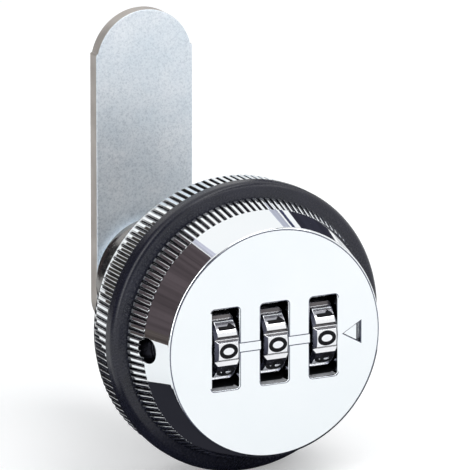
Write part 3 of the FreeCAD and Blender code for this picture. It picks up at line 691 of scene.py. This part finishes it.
# Strokes of each numeral in a box one wide and one high
DIGITS = [
    [arc(0.5, 0.5, 0.5, 0.5, 0, 360)],
    [[(0.2, 0.72), (0.55, 1.0), (0.55, 0.0)]],
    [arc(0.5, 0.72, 0.48, 0.28, 165, -35) + [(0.05, 0.0), (1.0, 0.0)]],
    [arc(0.48, 0.74, 0.45, 0.26, 160, -90) + arc(0.48, 0.25, 0.50, 0.25, 80, -160)],
    [[(0.75, 0.0), (0.75, 1.0), (0.0, 0.30), (1.0, 0.30)]],
    [[(0.92, 1.0), (0.18, 1.0), (0.10, 0.52)] + arc(0.48, 0.32, 0.48, 0.32, 110, -150)],
    [arc(0.5, 0.31, 0.48, 0.31, 0, 360), arc(0.62, 0.42, 0.60, 0.58, 175, 80)],
    [[(0.0, 1.0), (0.98, 1.0), (0.38, 0.0)]],
    [arc(0.5, 0.76, 0.42, 0.24, 0, 360), arc(0.5, 0.26, 0.50, 0.26, 0, 360)],
    [arc(0.5, 0.69, 0.48, 0.31, 0, 360), arc(0.38, 0.58, 0.60, 0.58, -5, -100)],
]


def stroke_edges(points, width):
    """Left and right edge points of a stroke, mitred at its corners."""
    closed = (Vector(points[0]) - Vector(points[-1])).length < SAME_POINT
    if closed:
        points = points[:-1]
    count = len(points)
    rows = []
    for index in range(count):
        here = Vector(points[index])
        before = Vector(points[index - 1]) if closed or index > 0 else None
        after = Vector(points[(index + 1) % count]) if closed or index < count - 1 else None
        into = (here - before).normalized() if before is not None else (after - here).normalized()
        out = (after - here).normalized() if after is not None else into
        along = (into + out).normalized()
        side = Vector((-along.y, along.x))
        stretch = 1.0 / max(MITRE_LIMIT, side.dot(Vector((-into.y, into.x))))
        rows.append((here + side * width / 2 * stretch, here - side * width / 2 * stretch))
    return rows, closed


def add_stroke(work, rows, closed, place):
    """Thin slab along a stroke, wrapped on the wheel by place(u, v, depth)."""
    rings = []
    for left, right in rows:
        ring = [place(left.x, left.y, DIGIT_RELIEF), place(right.x, right.y, DIGIT_RELIEF),
                place(right.x, right.y, -DIGIT_ROOT), place(left.x, left.y, -DIGIT_ROOT)]
        rings.append([work.verts.new(point) for point in ring])
    pairs = list(zip(rings[:-1], rings[1:]))
    if closed:
        pairs.append((rings[-1], rings[0]))
    for ring0, ring1 in pairs:
        for corner in range(4):
            after = (corner + 1) % 4
            work.faces.new((ring0[corner], ring0[after], ring1[after], ring1[corner]))
    if not closed:
        work.faces.new(rings[0])
        work.faces.new(list(reversed(rings[-1])))


def refine(points, step):
    """Split long stretches so that they follow the wheel's curve."""
    fine = [points[0]]
    for start, end in zip(points[:-1], points[1:]):
        length = math.dist(start, end)
        parts = max(1, math.ceil(length / step))
        for part in range(1, parts + 1):
            share = part / parts
            fine.append((start[0] + (end[0] - start[0]) * share, start[1] + (end[1] - start[1]) * share))
    return fine


def on_wheel_side(centre, normal):
    """Faces of a wheel that look sideways."""
    return abs(normal.x) > SIDEWAYS


def on_low_flank(centre, normal):
    """Flank of a wheel's notch that faces the lower numbers."""
    radial = Vector((0.0, centre.y - AXLE_Y, centre.z)).normalized()
    downward = Vector((0.0, -radial.z, radial.y))
    return normal.dot(radial) > NOTCH_OUTWARD and normal.dot(downward) > NOTCH_DOWNWARD


def make_wheel(number):
    """Dial wheel with rounded lands, painted shade on its sides and on one flank in each notch."""
    wheel = dressed("dial_wheel_%d" % number, WHEEL_EDGE)
    retint(wheel, [(WHEEL_SIDE_SHADE, on_wheel_side), (NOTCH_SHADE, on_low_flank)])


def numerals(number, joint):
    """All ten numerals of one wheel, lying on their side as the wheel carries them."""
    low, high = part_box("dial_wheel_%d" % number)
    radius = (high.y - low.y) / 2
    axis_y = joint["pos_m"][1]
    centre_x = joint["pos_m"][0]
    work = bmesh.new()
    for digit, strokes in enumerate(DIGITS):
        turn = 2 * math.pi * digit / len(DIGITS)

        def place(u, v, depth):
            """Point on the wheel, its reach beyond the lands given by depth."""
            angle = turn - u / radius
            reach = radius + depth
            return (centre_x + v, axis_y - reach * math.cos(angle), reach * math.sin(angle))

        for points in strokes:
            scaled = [((x - 0.5) * DIGIT_WIDTH, (y - 0.5) * DIGIT_HEIGHT) for x, y in points]
            shrink_x = (DIGIT_WIDTH - DIGIT_STROKE) / DIGIT_WIDTH
            shrink_y = (DIGIT_HEIGHT - DIGIT_STROKE) / DIGIT_HEIGHT
            scaled = [(x * shrink_x, y * shrink_y) for x, y in scaled]
            rows, closed = stroke_edges(refine(scaled, DIGIT_STEP), DIGIT_STROKE)
            add_stroke(work, rows, closed, place)
    bmesh.ops.recalc_face_normals(work, faces=work.faces)
    add_piece("numerals_%d" % number, work, PAINT, "plated_wheel", "dial_%d" % number)


# The lock

for node in frame["nodes"]:
    paint_node(node)

make_knob()
make_gasket()
make_nut()
make_barrel()
make_thread()
make_cam()
for number in (1, 2, 3):
    make_wheel(number)
    numerals(number, JOINTS["dial_turn_%d" % number])


# Studio

FLOOR_SIZE = 8.0
FLOOR_GAP = 0.05 * MM
CARD_GAP = 0.02 * MM
FLOOR_Z = cad_low.z
SOFT_LEVEL = 0.62
SOFT_COLOUR = (0.96, 0.98, 1.0, 1.0)
WHITE = (1.0, 1.0, 1.0, 1.0)
FLOOR_COLOUR = (0.86, 0.86, 0.86, 1.0)
FLOOR_SEEN = 0.30
FLOOR_MIRRORED = 0.12
# Mottle of the glowing cards' painted reflections
GLOW_GRAIN = 18
GLOW_DARK = 0.7
GLOW_LIGHT = 1.2
CLIP_START = 0.1
CLIP_END = 20.0


def rays(nodes, levels):
    """The level of the kind of ray: (kind, level) pairs, zero for all others."""
    links = nodes.id_data.links
    path = nodes.new("ShaderNodeLightPath")
    total = None
    for kind, level in levels:
        scale = nodes.new("ShaderNodeMath")
        scale.operation = "MULTIPLY"
        scale.inputs[1].default_value = level
        links.new(path.outputs[kind], scale.inputs[0])
        if total is None:
            total = scale.outputs[0]
            continue
        larger = nodes.new("ShaderNodeMath")
        larger.operation = "MAXIMUM"
        links.new(total, larger.inputs[0])
        links.new(scale.outputs[0], larger.inputs[1])
        total = larger.outputs[0]
    return total


def seen(direct, mirrored):
    """Levels for what is seen directly and for what is seen in glossy reflections."""
    return (("Is Camera Ray", direct), ("Is Transmission Ray", direct), ("Is Glossy Ray", mirrored))


def make_world():
    """Soft white surroundings, plain white where they are seen."""
    world = bpy.data.worlds.new("studio")
    world.use_nodes = True
    nodes = world.node_tree.nodes
    links = world.node_tree.links
    nodes.clear()
    soft = nodes.new("ShaderNodeBackground")
    soft.inputs["Color"].default_value = SOFT_COLOUR
    soft.inputs["Strength"].default_value = SOFT_LEVEL
    white = nodes.new("ShaderNodeBackground")
    white.inputs["Color"].default_value = WHITE
    white.inputs["Strength"].default_value = 1.0
    mix = nodes.new("ShaderNodeMixShader")
    out = nodes.new("ShaderNodeOutputWorld")
    links.new(rays(nodes, seen(1.0, 1.0)), mix.inputs["Fac"])
    links.new(soft.outputs["Background"], mix.inputs[1])
    links.new(white.outputs["Background"], mix.inputs[2])
    links.new(mix.outputs["Shader"], out.inputs["Surface"])
    bpy.context.scene.world = world


def plate(name, centre, across, up, width, height):
    """Flat rectangle about a centre."""
    mesh = bpy.data.meshes.new(name)
    across = Vector(across).normalized() * width / 2
    up = Vector(up).normalized() * height / 2
    centre = Vector(centre)
    corners = [centre - across - up, centre + across - up, centre + across + up, centre - across + up]
    mesh.from_pydata([tuple(corner) for corner in corners], [], [(0, 1, 2, 3)])
    thing = bpy.data.objects.new(name, mesh)
    bpy.context.scene.collection.objects.link(thing)
    return thing


def make_floor():
    """Plain pale floor that keeps the lock's shadow and is white where it is seen."""
    floor = plate("floor", (0, 0, FLOOR_Z - FLOOR_GAP), (1, 0, 0), (0, 1, 0), FLOOR_SIZE, FLOOR_SIZE)
    material = bpy.data.materials.new("floor_white")
    material.use_nodes = True
    nodes = material.node_tree.nodes
    links = material.node_tree.links
    nodes.clear()
    diffuse = nodes.new("ShaderNodeBsdfDiffuse")
    diffuse.inputs["Color"].default_value = FLOOR_COLOUR
    glow = nodes.new("ShaderNodeEmission")
    glow.inputs["Color"].default_value = WHITE
    links.new(rays(nodes, seen(FLOOR_SEEN, FLOOR_MIRRORED)), glow.inputs["Strength"])
    add = nodes.new("ShaderNodeAddShader")
    out = nodes.new("ShaderNodeOutputMaterial")
    links.new(diffuse.outputs["BSDF"], add.inputs[0])
    links.new(glow.outputs["Emission"], add.inputs[1])
    links.new(add.outputs["Shader"], out.inputs["Surface"])
    floor.data.materials.append(material)


def reflection_card(card, colour):
    """Make a plate a glowing card with a mottled glow that shows only in glossy reflections, a painted
    reflection of the surroundings.
    """
    material = bpy.data.materials.new(card.name + "_painted_reflection")
    material.use_nodes = True
    nodes = material.node_tree.nodes
    links = material.node_tree.links
    nodes.clear()
    glow = nodes.new("ShaderNodeEmission")
    glow.inputs["Strength"].default_value = 1.0
    out = nodes.new("ShaderNodeOutputMaterial")
    glow_mottle = noise(nodes, links, GLOW_GRAIN, 3.0)
    tone = [tuple(channel * share for channel in colour) for share in (GLOW_DARK, GLOW_LIGHT)]
    links.new(ramp(nodes, links, glow_mottle, [(0.35, tone[0]), (0.65, tone[1])]), glow.inputs["Color"])
    links.new(glow.outputs["Emission"], out.inputs["Surface"])
    card.data.materials.append(material)
    card.visible_camera = False
    card.visible_diffuse = False
    card.visible_shadow = False


def lying_card(name, x0, x1, y0, y1, colour):
    """Card on the floor between two corners."""
    centre = ((x0 + x1) / 2, (y0 + y1) / 2, FLOOR_Z + CARD_GAP)
    reflection_card(plate(name, centre, (1, 0, 0), (0, 1, 0), x1 - x0, y1 - y0), colour)


def standing_card(name, azimuth, distance, low_z, high_z, width, colour):
    """Upright card at an azimuth in degrees from +Y towards +X, facing the lock."""
    angle = math.radians(azimuth)
    centre = (distance * math.sin(angle), distance * math.cos(angle), (low_z + high_z) / 2)
    across = (math.cos(angle), -math.sin(angle), 0.0)
    reflection_card(plate(name, centre, across, (0, 0, 1), width, high_z - low_z), colour)


def hanging_card(name, azimuth, elevation, distance, width, height, colour):
    """Card overhead at an azimuth and elevation in degrees, square to the sight line."""
    angle = math.radians(azimuth)
    rise = math.radians(elevation)
    across = Vector((math.cos(angle), -math.sin(angle), 0.0))
    away = Vector((math.sin(angle) * math.cos(rise), math.cos(angle) * math.cos(rise), math.sin(rise)))
    reflection_card(plate(name, away * distance, across, across.cross(away), width, height), colour)


def make_lamp(name, place, target, width, height, power):
    """Rectangular lamp aimed at a point."""
    data = bpy.data.lights.new(name, "AREA")
    data.shape = "RECTANGLE"
    data.size = width
    data.size_y = height
    data.energy = power
    lamp = bpy.data.objects.new(name, data)
    lamp.location = place
    aim = Vector(target) - Vector(place)
    lamp.rotation_euler = aim.to_track_quat("-Z", "Y").to_euler()
    bpy.context.scene.collection.objects.link(lamp)


def make_camera():
    """Camera at the photograph's viewing angle."""
    azimuth = math.radians(VIEW_AZIMUTH)
    elevation = math.radians(VIEW_ELEVATION)
    back = Vector((-math.cos(elevation) * math.sin(azimuth), -math.cos(elevation) * math.cos(azimuth),
                   math.sin(elevation)))
    right = Vector((math.cos(azimuth), -math.sin(azimuth), 0.0))
    up = back.cross(right)
    face = Vector((0.0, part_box("knob_shell")[0].y, 0.0))
    data = bpy.data.cameras.new("camera")
    data.sensor_width = SENSOR
    data.lens = SENSOR * VIEW_DISTANCE / VIEW_WIDTH
    data.clip_start = CLIP_START
    data.clip_end = CLIP_END
    camera = bpy.data.objects.new("camera", data)
    camera.location = face + back * VIEW_DISTANCE + right * VIEW_SHIFT_RIGHT + up * VIEW_SHIFT_UP
    camera.rotation_euler = (-back).to_track_quat("-Z", "Y").to_euler()
    bpy.context.scene.collection.objects.link(camera)
    bpy.context.scene.camera = camera


make_world()
make_floor()
# Glowing cards seen only in glossy reflections paint the surroundings that the metal mirrors; the first
# card, under the lock, paints its shadow on the floor
lying_card("shadow_card_under", x0=-0.039, x1=0.067, y0=-0.0275, y1=0.19, colour=(0.020, 0.020, 0.026))
lying_card("card_floor_left", x0=-0.60, x1=-0.165, y0=0.02, y1=0.60, colour=(0.090, 0.074, 0.070))
standing_card("card_left", azimuth=-57.5, distance=0.65, low_z=FLOOR_Z, high_z=0.96, width=0.66,
              colour=(0.088, 0.070, 0.076))
standing_card("card_left_top", azimuth=-57.5, distance=0.65, low_z=0.975, high_z=1.34, width=0.66,
              colour=(0.60, 0.60, 0.70))
standing_card("card_left_back", azimuth=-23.0, distance=0.66, low_z=FLOOR_Z, high_z=0.36, width=0.36,
              colour=(0.060, 0.055, 0.050))
standing_card("card_right", azimuth=42.0, distance=0.50, low_z=0.035, high_z=0.258, width=0.24,
              colour=(0.035, 0.035, 0.050))
standing_card("card_right_bar", azimuth=42.0, distance=0.50, low_z=0.300, high_z=0.325, width=0.24,
              colour=(0.060, 0.065, 0.130))
standing_card("card_right_line", azimuth=42.0, distance=0.50, low_z=0.340, high_z=0.400, width=0.24,
              colour=(0.50, 0.51, 0.60))
standing_card("card_front_left", azimuth=-92.0, distance=0.45, low_z=FLOOR_Z, high_z=0.55, width=0.22,
              colour=(0.030, 0.030, 0.038))
standing_card("card_front", azimuth=-160.0, distance=0.45, low_z=FLOOR_Z + 0.05, high_z=0.55, width=0.25,
              colour=(0.030, 0.030, 0.038))
hanging_card("card_over", azimuth=126.0, elevation=61.0, distance=0.45, width=0.34, height=0.10,
             colour=(0.13, 0.13, 0.15))
hanging_card("card_over_low", azimuth=140.0, elevation=50.0, distance=0.46, width=0.30, height=0.08,
             colour=(0.42, 0.42, 0.45))
make_lamp("key", place=(0.30, -0.35, 0.75), target=(0, 0, 0), width=0.7, height=0.7, power=3.6)
make_lamp("strip", place=(-0.55, -0.42, 0.32), target=(0, 0, 0), width=0.12, height=0.75, power=1.1)
make_camera()

scene = bpy.context.scene
scene.view_settings.view_transform = "Standard"
